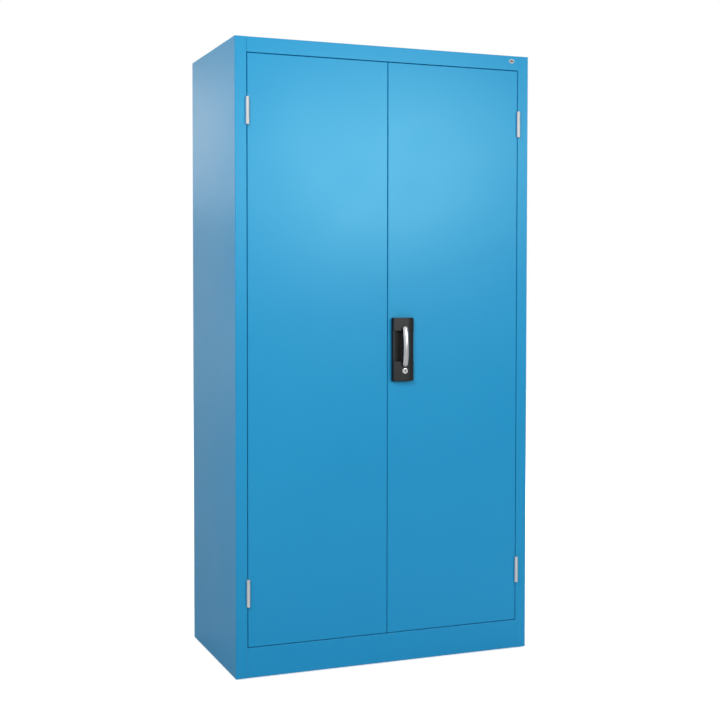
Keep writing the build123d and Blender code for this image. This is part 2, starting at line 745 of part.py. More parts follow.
door_plane = Plane((DOOR_MIDDLE_X, FRONT, DOOR_MIDDLE_Z), (1, 0, 0), (0, -1, 0))
door_pan = pan(door_plane, DOOR_WIDTH, DOOR_HEIGHT, DOOR_DEPTH, DOOR_HEM)
bolt_slot = (ROD_THICKNESS + 2 * ROD_HOLE_GAP, BOLT_HEIGHT + 2 * ROD_HOLE_GAP)
TRAY_SCREW_SPOTS = [
    (TRAY_LEFT + TRAY_SCREW_INSET, TRAY_BOTTOM + TRAY_SCREW_END_INSET),
    (TRAY_RIGHT - TRAY_SCREW_INSET, TRAY_TOP - TRAY_SCREW_END_INSET),
]
BOW_SCREW_SPOTS = [(BOW_X, BOW_POST_LOW), (BOW_X, BOW_POST_HIGH)]

with BuildPart() as right_door_skin:
    add(door_pan)
    # Rod slots in the top and bottom folds, and the bolt slot in the meeting edge
    for edge_z, rod_x, inward in ((DOOR_TOP, UPPER_ROD_X, -1), (DOOR_BOTTOM, LOWER_ROD_X, 1)):
        with BuildSketch(Plane.XY.offset(edge_z)):
            with Locations((rod_x, ROD_Y)):
                Rectangle(*keeper_slot)
        extrude(amount=inward * SHEET, mode=Mode.SUBTRACT)
    with BuildSketch(Plane.YZ.offset(DOOR_INNER_EDGE)):
        with Locations((BOLT_Y, BOLT_Z)):
            Rectangle(*bolt_slot)
    extrude(amount=SHEET, mode=Mode.SUBTRACT)
    # Holes for the lock housing and the screws of the grip and the tray
    with BuildSketch(Plane.XZ.offset(-FRONT)):
        with Locations((LOCK_X, LOCK_Z)):
            Circle(HOUSING_DIAMETER / 2 + FIT_GAP)
        with Locations(*BOW_SCREW_SPOTS):
            Circle(BOW_SCREW_DIAMETER / 2 + SCREW_GAP)
        with Locations(*TRAY_SCREW_SPOTS):
            Circle(TRAY_SCREW_DIAMETER / 2 + SCREW_GAP)
    extrude(amount=-SHEET, mode=Mode.SUBTRACT)
right_door_skin.part.label = "right_door_skin"
export_step(right_door_skin.part, "parts/right_door_skin.step")

with BuildPart() as left_door_skin:
    mirror(door_pan, about=Plane.YZ)
    with BuildSketch(Plane.YZ.offset(-DOOR_INNER_EDGE)):
        with Locations((BOLT_Y, BOLT_Z)):
            Rectangle(*bolt_slot)
    extrude(amount=-SHEET, mode=Mode.SUBTRACT)
left_door_skin.part.label = "left_door_skin"
export_step(left_door_skin.part, "parts/left_door_skin.step")

door_hat = folded(stiffener_line(DOOR_MIDDLE_X, SKIN_BACK, 1), Side.LEFT)
with BuildPart() as right_door_stiffener:
    with BuildSketch(Plane.XY.offset(DOOR_BOTTOM + STIFFENER_END_GAP)):
        add(door_hat)
    extrude(amount=DOOR_HEIGHT - 2 * STIFFENER_END_GAP)
right_door_stiffener.part.label = "right_door_stiffener"
export_step(right_door_stiffener.part, "parts/right_door_stiffener.step")

with BuildPart() as left_door_stiffener:
    mirror(right_door_stiffener.part, about=Plane.YZ)
left_door_stiffener.part.label = "left_door_stiffener"
export_step(left_door_stiffener.part, "parts/left_door_stiffener.step")

with BuildPart() as centre_keeper:
    with BuildSketch(Plane.YZ.offset(-DOOR_INNER_EDGE - SHEET)):
        with Locations((BOLT_Y, BOLT_Z)):
            Rectangle(KEEPER_WIDTH - 2 * BEND, KEEPER_LENGTH)
            Rectangle(*bolt_slot, mode=Mode.SUBTRACT)
    extrude(amount=-KEEPER_THICKNESS)
centre_keeper.part.label = "centre_keeper"
export_step(centre_keeper.part, "parts/centre_keeper.step")

# ---------------------------------------------------------------- handle

tray_panels = tray_section(0)
tray_cheeks = tray_section(TRAY_CHEEK_STEP)
cheek_face = TRAY_FACE + TRAY_CHEEK_STEP
recess_left = TRAY_LEFT + RECESS_LEFT_CHEEK
recess_right = TRAY_RIGHT - RECESS_RIGHT_CHEEK
recess_floor_left = recess_left + RECESS_WALL_SLOPE
with BuildPart() as handle_tray:
    with BuildSketch(Plane.XY.offset(TRAY_BOTTOM)):
        add(tray_cheeks)
    extrude(amount=TRAY_HEIGHT)
    with BuildSketch(Plane.XY.offset(TRAY_BOTTOM)):
        add(tray_panels)
    extrude(amount=RECESS_BOTTOM - TRAY_BOTTOM)
    with BuildSketch(Plane.XY.offset(RECESS_TOP)):
        add(tray_panels)
    extrude(amount=TRAY_TOP - RECESS_TOP)
    outer_corners = handle_tray.edges().filter_by(Axis.Y)
    fillet(outer_corners.group_by(Axis.Z)[0] + outer_corners.group_by(Axis.Z)[-1], TRAY_CORNER)
    face_rims = handle_tray.faces().filter_by(Axis.Y).sort_by(Axis.Y)[:2]
    fillet(face_rims.edges().filter_by(lambda edge: edge.center().Y < cheek_face), TRAY_EDGE)

    # Scoop behind the grip: a steep left wall, a floor and a long slope to the right cheek
    with BuildSketch(Plane.XY.offset(RECESS_BOTTOM)):
        with BuildLine():
            FilletPolyline(
                (recess_left, TRAY_FACE),
                (recess_left, cheek_face),
                (recess_floor_left, FRONT - RECESS_FLOOR),
                (recess_floor_left + RECESS_FLOOR_WIDTH, FRONT - RECESS_FLOOR),
                (recess_right, cheek_face),
                (recess_right, TRAY_FACE),
                radius=[RECESS_EDGE, RECESS_RADIUS, RECESS_RADIUS, RECESS_EDGE],
            )
            Line((recess_right, TRAY_FACE), (recess_left, TRAY_FACE))
        make_face()
    extrude(amount=RECESS_HEIGHT, mode=Mode.SUBTRACT)

    # Hollow backs of the two panels, with bosses for the screws and the lock housing
    pocket_bands = ((TRAY_BOTTOM, RECESS_BOTTOM), (RECESS_TOP, TRAY_TOP))
    pocket_depth = TRAY_PROUD - TRAY_SHOULDER_DROP - TRAY_WALL
    with BuildSketch(Plane.XZ.offset(-FRONT)):
        for low, high in pocket_bands:
            with Locations(((TRAY_LEFT + TRAY_RIGHT) / 2, (low + high) / 2)):
                RectangleRounded(
                    TRAY_WIDTH - 2 * TRAY_WALL,
                    high - low - 2 * TRAY_WALL,
                    TRAY_CORNER - TRAY_WALL,
                )
        with Locations(*BOW_SCREW_SPOTS):
            Circle(BOW_SCREW_DIAMETER / 2 + SCREW_BOSS_WALL, mode=Mode.SUBTRACT)
        with Locations(*TRAY_SCREW_SPOTS):
            Circle(TRAY_SCREW_DIAMETER / 2 + SCREW_BOSS_WALL, mode=Mode.SUBTRACT)
        with Locations((LOCK_X, LOCK_Z)):
            Circle(HOUSING_DIAMETER / 2 + SCREW_BOSS_WALL, mode=Mode.SUBTRACT)
    extrude(amount=pocket_depth, mode=Mode.SUBTRACT)
    with BuildSketch(Plane.XZ.offset(-FRONT)):
        with Locations(*BOW_SCREW_SPOTS):
            Circle(BOW_SCREW_DIAMETER / 2 + SCREW_GAP)
        with Locations((LOCK_X, LOCK_Z)):
            Circle(HOUSING_DIAMETER / 2 + FIT_GAP)
    extrude(amount=TRAY_PROUD, mode=Mode.SUBTRACT)
    with BuildSketch(Plane.XZ.offset(-FRONT)):
        with Locations(*TRAY_SCREW_SPOTS):
            Circle(TRAY_SCREW_DIAMETER / 2 + SCREW_GAP)
    extrude(amount=pocket_depth, mode=Mode.SUBTRACT)
handle_tray.part.label = "handle_tray"
export_step(handle_tray.part, "parts/handle_tray.step")

# The grip is an oval rod, bent to a shallow arc, with a half ball of the same section at each tip.
tip_ball = scale(
    Sphere(1, arc_size1=0, arc_size2=90, align=(Align.CENTER, Align.CENTER, Align.MIN)),
    by=(BOW_WIDTH / 2, BOW_THICKNESS / 2, BOW_TIP),
)
with BuildPart() as bow_grip:
    with BuildLine():
        bow_line = ThreePointArc(
            (BOW_X, BOW_SEAT_Y - BOW_TIP_LIFT, BOW_BOTTOM + BOW_TIP),
            (BOW_X, BOW_SEAT_Y - BOW_RISE, (BOW_BOTTOM + BOW_TOP) / 2),
            (BOW_X, BOW_SEAT_Y - BOW_TIP_LIFT, BOW_TOP - BOW_TIP),
        )
    with BuildSketch(Plane(bow_line @ 0, (1, 0, 0), bow_line % 0)):
        Ellipse(BOW_WIDTH / 2, BOW_THICKNESS / 2)
    sweep()
    add(Plane(bow_line @ 1, (1, 0, 0), bow_line % 1) * tip_ball)
    add(Plane(bow_line @ 0, (-1, 0, 0), -(bow_line % 0)) * tip_ball)
    # Feet that stand on the tray, each drilled from behind for its screw
    for post_z in (BOW_POST_LOW, BOW_POST_HIGH):
        with BuildSketch(Plane.XZ.offset(-TRAY_FACE)):
            with Locations((BOW_X, post_z)):
                Circle(BOW_POST_DIAMETER / 2)
        extrude(amount=BOW_THICKNESS / 2)
        with BuildSketch(Plane.XZ.offset(-TRAY_FACE)):
            with Locations((BOW_X, post_z)):
                Circle(BOW_SCREW_DIAMETER / 2 + SCREW_GAP)
        extrude(amount=BOW_THICKNESS / 2, mode=Mode.SUBTRACT)
bow_grip.part.label = "bow_grip"
export_step(bow_grip.part, "parts/bow_grip.step")

with BuildPart() as bow_screws:
    with BuildSketch(Plane.XZ.offset(-SKIN_BACK)):
        with Locations(*BOW_SCREW_SPOTS):
            Circle(BOW_SCREW_HEAD / 2)
    extrude(amount=-BOW_SCREW_HEAD_HEIGHT)
    with BuildSketch(Plane.XZ.offset(-SKIN_BACK)):
        with Locations(*BOW_SCREW_SPOTS):
            Circle(BOW_SCREW_DIAMETER / 2)
    extrude(amount=SHEET + TRAY_PROUD + BOW_THICKNESS / 2 - SCREW_GAP)
bow_screws.part.label = "bow_screws"
export_step(bow_screws.part, "parts/bow_screws.step")

with BuildPart() as tray_screws:
    with BuildSketch(Plane.XZ.offset(-SKIN_BACK)):
        with Locations(*TRAY_SCREW_SPOTS):
            Circle(TRAY_SCREW_HEAD / 2)
    extrude(amount=-TRAY_SCREW_HEAD_HEIGHT)
    with BuildSketch(Plane.XZ.offset(-SKIN_BACK)):
        with Locations(*TRAY_SCREW_SPOTS):
            Circle(TRAY_SCREW_DIAMETER / 2)
    extrude(amount=SHEET + pocket_depth - SCREW_GAP)
tray_screws.part.label = "tray_screws"
export_step(tray_screws.part, "parts/tray_screws.step")

# ---------------------------------------------------------------- lock cylinder

ring_face = TRAY_FACE - RING_PROUD
plug_bore = PLUG_DIAMETER / 2 + RUNNING_GAP
with BuildPart() as lock_housing:
    with BuildSketch(Plane.XZ.offset(-TRAY_FACE)):
        with Locations((LOCK_X, LOCK_Z)):
            Circle(RING_DIAMETER / 2)
            Circle(plug_bore, mode=Mode.SUBTRACT)
    extrude(amount=RING_PROUD)
    fillet(lock_housing.edges().group_by(Axis.Y)[0].sort_by(SortBy.RADIUS)[-1], RING_PROUD / 2)
    with BuildSketch(Plane.XZ.offset(-TRAY_FACE)):
        with Locations((LOCK_X, LOCK_Z)):
            Circle(HOUSING_DIAMETER / 2)
            Circle(plug_bore, mode=Mode.SUBTRACT)
    extrude(amount=TRAY_FACE - NUT_BACK)
lock_housing.part.label = "lock_housing"
export_step(lock_housing.part, "parts/lock_housing.step")

with BuildPart() as lock_nut:
    with BuildSketch(Plane.XZ.offset(-NUT_BACK)):
        with Locations((LOCK_X, LOCK_Z)):
            RegularPolygon(NUT_ACROSS_FLATS / 2, 6, major_radius=False)
            Circle(HOUSING_DIAMETER / 2 + RUNNING_GAP, mode=Mode.SUBTRACT)
    extrude(amount=NUT_THICKNESS)
lock_nut.part.label = "lock_nut"
export_step(lock_nut.part, "parts/lock_nut.step")

clip_ring_front = COVER_BACK + LAYER_GAP
with BuildPart() as key_plug:
    with BuildSketch(Plane.XZ.offset(-ring_face - PLUG_RECESS)):
        with Locations((LOCK_X, LOCK_Z)):
            Circle(PLUG_DIAMETER / 2)
    extrude(amount=ring_face + PLUG_RECESS - NUT_BACK)
    with BuildSketch(Plane.XZ.offset(-ring_face - PLUG_RECESS)):
        with Locations((LOCK_X, LOCK_Z)):
            SlotOverall(KEYWAY_HEIGHT, KEYWAY_WIDTH, rotation=90)
    extrude(amount=-KEYWAY_DEPTH, mode=Mode.SUBTRACT)
    with BuildSketch(Plane.XZ.offset(-NUT_BACK)):
        with Locations((LOCK_X, LOCK_Z)):
            Rectangle(TAIL_SQUARE, TAIL_SQUARE)
    extrude(amount=NUT_BACK - BOLT_BACK)
    with BuildSketch(Plane.XZ.offset(-BOLT_BACK)):
        with Locations((LOCK_X, LOCK_Z)):
            Circle(TAIL_END_DIAMETER / 2)
    extrude(amount=BOLT_BACK - clip_ring_front - 2 * PLUG_CLIP_THICKNESS)
key_plug.part.label = "key_plug"
export_step(key_plug.part, "parts/key_plug.step")

with BuildPart() as plug_clip:
    with BuildSketch(Plane.XZ.offset(-clip_ring_front)):
        with Locations((LOCK_X, LOCK_Z)):
            Circle(PLUG_CLIP_DIAMETER / 2)
            Circle(TAIL_END_DIAMETER / 2 + RUNNING_GAP, mode=Mode.SUBTRACT)
    extrude(amount=-PLUG_CLIP_THICKNESS)
plug_clip.part.label = "plug_clip"
export_step(plug_clip.part, "parts/plug_clip.step")

# ---------------------------------------------------------------- lock case

case_post_spots = [
    (LOCK_X + side * (CASE_SIDE_REACH - CASE_POST_INSET), z)
    for side in (-1, 1)
    for z in (LOCK_Z - CASE_BOTTOM_REACH + CASE_POST_INSET, LOCK_Z + CASE_TOP_REACH - CASE_POST_INSET)
]
case_middle_z = LOCK_Z + (CASE_TOP_REACH - CASE_BOTTOM_REACH) / 2
with BuildPart() as lock_case:
    with BuildSketch(Plane.XZ.offset(-CASE_BACK)):
        with Locations((LOCK_X, case_middle_z)):
            Rectangle(2 * CASE_SIDE_REACH, CASE_TOP_REACH + CASE_BOTTOM_REACH)
        with Locations((LOCK_X, LOCK_Z)):
            Circle(HOUSING_DIAMETER / 2 + FIT_GAP, mode=Mode.SUBTRACT)
    extrude(amount=CASE_PLATE)
    with BuildSketch(Plane.XZ.offset(-CASE_BACK)):
        with Locations(*case_post_spots):
            Circle(CASE_POST_DIAMETER / 2)
    extrude(amount=CASE_BACK - COVER_FRONT)
    with BuildSketch(Plane.XZ.offset(-COVER_FRONT)):
        with Locations(*case_post_spots):
            Circle(CASE_SCREW_DIAMETER / 2 + RUNNING_GAP)
    extrude(amount=COVER_FRONT - CASE_BACK, mode=Mode.SUBTRACT)
lock_case.part.label = "lock_case"
export_step(lock_case.part, "parts/lock_case.step")

with BuildPart() as lock_cover:
    with BuildSketch(Plane.XZ.offset(-COVER_BACK)):
        with Locations((LOCK_X, case_middle_z)):
            Rectangle(2 * CASE_SIDE_REACH, CASE_TOP_REACH + CASE_BOTTOM_REACH)
        with Locations((LOCK_X, LOCK_Z)):
            Circle(TAIL_END_DIAMETER / 2 + RUNNING_GAP, mode=Mode.SUBTRACT)
        with Locations(*case_post_spots):
            Circle(CASE_SCREW_DIAMETER / 2 + RUNNING_GAP, mode=Mode.SUBTRACT)
    extrude(amount=CASE_PLATE)
lock_cover.part.label = "lock_cover"
export_step(lock_cover.part, "parts/lock_cover.step")

with BuildPart() as lock_screws:
    with BuildSketch(Plane.XZ.offset(-COVER_BACK)):
        with Locations(*case_post_spots):
            Circle(CASE_SCREW_HEAD / 2)
    extrude(amount=-CASE_SCREW_HEAD_HEIGHT)
    with BuildSketch(Plane.XZ.offset(-COVER_BACK)):
        with Locations(*case_post_spots):
            Circle(CASE_SCREW_DIAMETER / 2)
    extrude(amount=COVER_BACK - CASE_BACK - LAYER_GAP)
lock_screws.part.label = "lock_screws"
export_step(lock_screws.part, "parts/lock_screws.step")

# ---------------------------------------------------------------- pinion, rods and bolt

tooth_shape = pinion_tooth()
with BuildPart() as pinion:
    with BuildSketch(Plane.XZ.offset(-BOLT_BACK)):
        with Locations((LOCK_X, LOCK_Z)):
            Circle(PITCH_RADIUS - TOOTH_DEDENDUM * PINION_MODULE)
            with PolarLocations(0, PINION_TEETH):
                add(tooth_shape)
            Rectangle(TAIL_SQUARE, TAIL_SQUARE, mode=Mode.SUBTRACT)
    extrude(amount=BOLT_BACK - ROD_FRONT)
pinion.part.label = "pinion"
export_step(pinion.part, "parts/pinion.step")

rack_shape = rack_tooth()
rod_layer = Plane.XZ.offset(-ROD_BACK)
upper_rod_low = LOCK_Z - TRAVEL - RACK_SPARE
with BuildPart() as upper_rod:
    with BuildSketch(rod_layer):
        with Locations((UPPER_ROD_X, upper_rod_low)):
            Rectangle(
                ROD_WIDTH,
                DOOR_TOP - ROD_TIP_INSET - upper_rod_low,
                align=(Align.CENTER, Align.MIN),
            )
        # The pinion's bearing of 180 degrees runs downwards, so heights are taken off.
        for place in rack_places(180, -RACK_SPARE, TRAVEL + RACK_SPARE):
            with Locations((LOCK_X - PITCH_RADIUS, LOCK_Z - place)):
                add(rack_shape)
    extrude(amount=ROD_THICKNESS)
upper_rod.part.label = "upper_rod"
export_step(upper_rod.part, "parts/upper_rod.step")

lower_rod_high = LOCK_Z + TRAVEL + RACK_SPARE
with BuildPart() as lower_rod:
    with BuildSketch(rod_layer):
        with Locations((LOWER_ROD_X, lower_rod_high)):
            Rectangle(
                ROD_WIDTH,
                lower_rod_high - DOOR_BOTTOM - ROD_TIP_INSET,
                align=(Align.CENTER, Align.MAX),
            )
        for place in rack_places(0, -RACK_SPARE, TRAVEL + RACK_SPARE):
            with Locations((LOCK_X + PITCH_RADIUS, LOCK_Z + place)):
                add(rack_shape, rotation=180)
    extrude(amount=ROD_THICKNESS)
lower_rod.part.label = "lower_rod"
export_step(lower_rod.part, "parts/lower_rod.step")

bolt_tip = DOOR_INNER_EDGE + ROD_TIP_INSET
bolt_tail = LOCK_X + TRAVEL + RACK_SPARE
with BuildPart() as centre_bolt:
    with BuildSketch(Plane.XZ.offset(-BOLT_BACK)):
        with Locations((bolt_tip, BOLT_Z)):
            Rectangle(bolt_tail - bolt_tip, BOLT_HEIGHT, align=(Align.MIN, Align.CENTER))
        for place in rack_places(270, -RACK_SPARE, TRAVEL + RACK_SPARE):
            with Locations((LOCK_X + place, LOCK_Z - PITCH_RADIUS)):
                add(rack_shape, rotation=90)
    extrude(amount=ROD_THICKNESS)
centre_bolt.part.label = "centre_bolt"
export_step(centre_bolt.part, "parts/centre_bolt.step")

guide_depth = ROD_BACK + GUIDE_BACK_WALL - SKIN_BACK
guide_spots = [(UPPER_ROD_X, ROD_Y, z) for z in UPPER_GUIDES_Z]
guide_spots += [(LOWER_ROD_X, ROD_Y, z) for z in LOWER_GUIDES_Z]
with BuildPart() as rod_guides:
    with Locations(*[(x, SKIN_BACK, z) for x, _, z in guide_spots]):
        Box(
            ROD_WIDTH + 2 * GUIDE_WALL,
            guide_depth,
            GUIDE_HEIGHT,
            align=(Align.CENTER, Align.MIN, Align.CENTER),
        )
    with Locations(*guide_spots):
        Box(
            ROD_WIDTH + 2 * GUIDE_GAP,
            ROD_THICKNESS + 2 * GUIDE_GAP,
            GUIDE_HEIGHT,
            mode=Mode.SUBTRACT,
        )
rod_guides.part.label = "rod_guides"
export_step(rod_guides.part, "parts/rod_guides.step")
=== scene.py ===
import math

import bpy
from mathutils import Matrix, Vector


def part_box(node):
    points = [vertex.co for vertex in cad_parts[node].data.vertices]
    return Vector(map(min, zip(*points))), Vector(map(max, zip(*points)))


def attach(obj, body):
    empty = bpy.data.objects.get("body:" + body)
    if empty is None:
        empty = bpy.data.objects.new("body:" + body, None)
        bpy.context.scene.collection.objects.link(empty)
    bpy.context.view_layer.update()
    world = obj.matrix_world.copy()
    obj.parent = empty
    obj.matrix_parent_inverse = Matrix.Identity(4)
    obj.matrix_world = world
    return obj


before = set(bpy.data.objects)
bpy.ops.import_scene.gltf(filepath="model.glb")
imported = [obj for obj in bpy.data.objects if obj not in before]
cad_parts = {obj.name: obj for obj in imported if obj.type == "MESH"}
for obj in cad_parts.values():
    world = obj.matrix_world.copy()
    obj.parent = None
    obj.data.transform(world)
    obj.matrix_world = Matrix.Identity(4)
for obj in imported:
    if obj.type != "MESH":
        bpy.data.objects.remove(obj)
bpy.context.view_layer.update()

# ---------------------------------------------------------------- the room
# A pale paper floor that runs into a white surround. A low wide softbox stands in front on the
# right and a high one in front on the left; weaker ones light both side walls and the back.
# The camera stands in front on the left at chest height.

scene = bpy.context.scene
scene.view_settings.view_transform = "Standard"


def add_node(tree, kind, **settings):
    """A new node of a tree, with its settings."""
    made = tree.nodes.new(kind)
    for name, value in settings.items():
        setattr(made, name, value)
    return made


def wire(tree, out, into):
    """Joins an output socket to an input socket."""
    tree.links.new(out, into)


def maths(tree, operation, *operands):
    """The output of a Math node; each operand is a socket or a number."""
    made = add_node(tree, "ShaderNodeMath", operation=operation)
    for socket, operand in zip(made.inputs, operands):
        if isinstance(operand, (int, float)):
            socket.default_value = operand
        else:
            wire(tree, operand, socket)
    return made.outputs[0]


def ramp(tree, source, low, high, start=0.0, end=1.0, curve="LINEAR"):
    """The output of a Map Range node, from start..end of a socket to low..high."""
    made = add_node(tree, "ShaderNodeMapRange", interpolation_type=curve)
    wire(tree, source, made.inputs["Value"])
    made.inputs["From Min"].default_value = start
    made.inputs["From Max"].default_value = end
    made.inputs["To Min"].default_value = low
    made.inputs["To Max"].default_value = high
    return made.outputs["Result"]


white = (1.0, 1.0, 1.0, 1.0)
ambient = 0.1

room = bpy.data.worlds.new("studio_surround")
room.use_nodes = True
scene.world = room
tree = room.node_tree
surround = tree.nodes["Background"]
rays = add_node(tree, "ShaderNodeLightPath")
heading = add_node(tree, "ShaderNodeTexCoord")
heading_parts = add_node(tree, "ShaderNodeSeparateXYZ")
wire(tree, heading.outputs["Generated"], heading_parts.inputs["Vector"])
# Glossy skins mirror a surround that dims towards the right and brightens with height.
across = ramp(tree, heading_parts.outputs["X"], low=0.8, high=0.35, start=0.1, end=0.9)
above = ramp(tree, heading_parts.outputs["Z"], low=0.95, high=1.4, start=0.05, end=0.8)
mirrored = maths(tree, "MULTIPLY", across, above)
mirrored = maths(tree, "MULTIPLY", rays.outputs["Is Glossy Ray"], mirrored)
seen = maths(tree, "MAXIMUM", rays.outputs["Is Camera Ray"], mirrored)
surround.inputs["Color"].default_value = white
wire(tree, maths(tree, "MAXIMUM", seen, ambient), surround.inputs["Strength"])

floor_reach = 9.0
floor_corners = ((-1, -1), (1, -1), (1, 1), (-1, 1))
floor_mesh = bpy.data.meshes.new("studio_floor")
floor_mesh.from_pydata(
    [(x * floor_reach, y * floor_reach, 0.0) for x, y in floor_corners], [], [(0, 1, 2, 3)],
)
floor = bpy.data.objects.new("studio_floor", floor_mesh)
scene.collection.objects.link(floor)

floor_paper = bpy.data.materials.new("pale_floor_paper")
floor_paper.use_nodes = True
floor_mesh.materials.append(floor_paper)
tree = floor_paper.node_tree
paper = tree.nodes["Principled BSDF"]
paper.inputs["Roughness"].default_value = 0.9
paper.inputs["Specular IOR Level"].default_value = 0.1
paper.inputs["Emission Color"].default_value = white
rays = add_node(tree, "ShaderNodeLightPath")
place = add_node(tree, "ShaderNodeTexCoord")
distance = add_node(tree, "ShaderNodeVectorMath", operation="LENGTH")
wire(tree, place.outputs["Object"], distance.inputs[0])
# The paper is darker to glossy rays than to the lamps.
paper_tone = 0.84
mirrored_tone = 0.5
tone = maths(
    tree, "MULTIPLY_ADD", rays.outputs["Is Glossy Ray"], mirrored_tone - paper_tone, paper_tone,
)
wire(tree, tone, paper.inputs["Base Color"])
# It glows as it runs out, so that no horizon shows to the camera or in glossy skins.
fade = ramp(
    tree, distance.outputs["Value"], low=0.66, high=1.0, start=0.9, end=2.6, curve="SMOOTHSTEP",
)
sheen = ramp(tree, distance.outputs["Value"], low=0.08, high=0.42, start=1.0, end=5.5)
seen = maths(tree, "MULTIPLY", rays.outputs["Is Camera Ray"], fade)
mirrored = maths(tree, "MULTIPLY", rays.outputs["Is Glossy Ray"], sheen)
wire(tree, maths(tree, "MAXIMUM", seen, mirrored), paper.inputs["Emission Strength"])


def softbox(name, place, aim, size, watts, mirrored=True):
    """A rectangular area lamp that faces a point, and shows in glossy skins or not."""
    lamp = bpy.data.lights.new(name, "AREA")
    lamp.shape = "RECTANGLE"
    lamp.size, lamp.size_y = size
    lamp.energy = watts
    holder = bpy.data.objects.new(name, lamp)
    holder.location = place
    holder.rotation_euler = (Vector(aim) - Vector(place)).to_track_quat("-Z", "Y").to_euler()
    holder.visible_glossy = mirrored
    scene.collection.objects.link(holder)


softbox(
    "key_softbox", place=(1.46, -3.9, 1.97), aim=(-0.1, -0.25, 1.65), size=(1.5, 0.5), watts=66.0,
)
# This one would burn out in the roof's reflection, so glossy skins don't show it.
softbox(
    "left_softbox", place=(-2.6, -3.0, 3.3), aim=(-0.3, -0.2, 1.6), size=(1.6, 1.6), watts=114.0,
    mirrored=False,
)
softbox(
    "side_softbox", place=(-4.5, 0.3, 2.4), aim=(-0.5, 0.0, 1.2), size=(2.0, 2.0), watts=26.0,
)
softbox(
    "rear_softbox", place=(-1.5, 3.4, 2.09), aim=(-0.5, 0.0, 1.6), size=(1.3, 0.8), watts=3.4,
)
softbox(
    "back_softbox", place=(2.2, 3.2, 3.0), aim=(0.0, 0.27, 1.0), size=(1.8, 1.8), watts=60.0,
)
softbox(
    "right_softbox", place=(4.2, 1.4, 2.2), aim=(0.5, 0.0, 1.1), size=(1.8, 1.8), watts=50.0,
)

quarter_turn = math.pi / 2
tilt_down = 0.03348
turn_right = 0.36096
camera = bpy.data.cameras.new("camera")
camera.sensor_width = 36.0
camera.lens = 61.843
camera.shift_x = 0.05
camera.shift_y = -0.042
camera_holder = bpy.data.objects.new("camera", camera)
camera_holder.location = (-1.56555, -3.81079, 1.19367)
camera_holder.rotation_euler = (quarter_turn - tilt_down, 0.0, -turn_right)
scene.collection.objects.link(camera_holder)
scene.camera = camera_holder

# ---------------------------------------------------------------- carcass
# Side walls with their front stiles, roof and its stiffener, floor, plinth rail and back wall:
# bent from 1.2 mm steel sheet and spot-welded, then powder-coated as a whole in one light blue
# with a fine satin skin.

NUMBER = "NodeSocketFloat"
VECTOR = "NodeSocketVector"


def node_group(name, inputs, outputs, kind="ShaderNodeTree"):
    """A node group with named sockets, and its input and output nodes."""
    group = bpy.data.node_groups.new(name, kind)
    for label, socket_type, value in inputs:
        socket = group.interface.new_socket(label, in_out="INPUT", socket_type=socket_type)
        if value is not None:
            socket.default_value = value
    for label, socket_type in outputs:
        group.interface.new_socket(label, in_out="OUTPUT", socket_type=socket_type)
    return group, group.nodes.new("NodeGroupInput"), group.nodes.new("NodeGroupOutput")


# Fine grain for a bump, and slow clouds that shift tone and gloss across a surface.
grain_group, given, made = node_group(
    "surface_grain",
    [("Vector", VECTOR, None), ("Grain Scale", NUMBER, 800.0), ("Cloud Scale", NUMBER, 3.0),
     ("Grain Detail", NUMBER, 2.0)],
    [("Height", NUMBER), ("Tone", NUMBER)],
)
fine = add_node(grain_group, "ShaderNodeTexNoise")
wire(grain_group, given.outputs["Vector"], fine.inputs["Vector"])
wire(grain_group, given.outputs["Grain Scale"], fine.inputs["Scale"])
wire(grain_group, given.outputs["Grain Detail"], fine.inputs["Detail"])
fine.inputs["Roughness"].default_value = 0.45
clouds = add_node(grain_group, "ShaderNodeTexNoise")
wire(grain_group, given.outputs["Vector"], clouds.inputs["Vector"])
wire(grain_group, given.outputs["Cloud Scale"], clouds.inputs["Scale"])
clouds.inputs["Detail"].default_value = 3.0
wire(grain_group, fine.outputs["Fac"], made.inputs["Height"])
wire(grain_group, clouds.outputs["Fac"], made.inputs["Tone"])

# Sparse hair scratches and rubbed patches left by handling, as a mask.
rub_group, given, made = node_group(
    "handling_rub",
    [("Vector", VECTOR, None), ("Patch Scale", NUMBER, 14.0), ("Hair Scale", NUMBER, 60.0),
     ("Amount", NUMBER, 0.5)],
    [("Mask", NUMBER)],
)
hair_draw = (1.0, 1.0, 0.16)
hair_width = 0.012
drawn = add_node(rub_group, "ShaderNodeVectorMath", operation="MULTIPLY")
drawn.inputs[1].default_value = hair_draw
wire(rub_group, given.outputs["Vector"], drawn.inputs[0])
hair = add_node(rub_group, "ShaderNodeTexVoronoi", feature="DISTANCE_TO_EDGE")
wire(rub_group, drawn.outputs["Vector"], hair.inputs["Vector"])
wire(rub_group, given.outputs["Hair Scale"], hair.inputs["Scale"])
thin = ramp(rub_group, hair.outputs["Distance"], low=1.0, high=0.0, end=hair_width)
patch = add_node(rub_group, "ShaderNodeTexNoise")
wire(rub_group, given.outputs["Vector"], patch.inputs["Vector"])
wire(rub_group, given.outputs["Patch Scale"], patch.inputs["Scale"])
spots = ramp(
    rub_group, patch.outputs["Fac"], low=0.0, high=1.0, start=0.56, end=0.74, curve="SMOOTHSTEP",
)
worn = maths(rub_group, "MULTIPLY", thin, spots)
wire(rub_group, maths(rub_group, "MULTIPLY", worn, given.outputs["Amount"]), made.inputs["Mask"])


def place_group(tree, group, here, **values):
    """A group node at the material's coordinates, with plain values on its named sockets."""
    made = add_node(tree, "ShaderNodeGroup", node_tree=group)
    wire(tree, here, made.inputs["Vector"])
    for label, value in values.items():
        made.inputs[label.replace("_", " ")].default_value = value
    return made


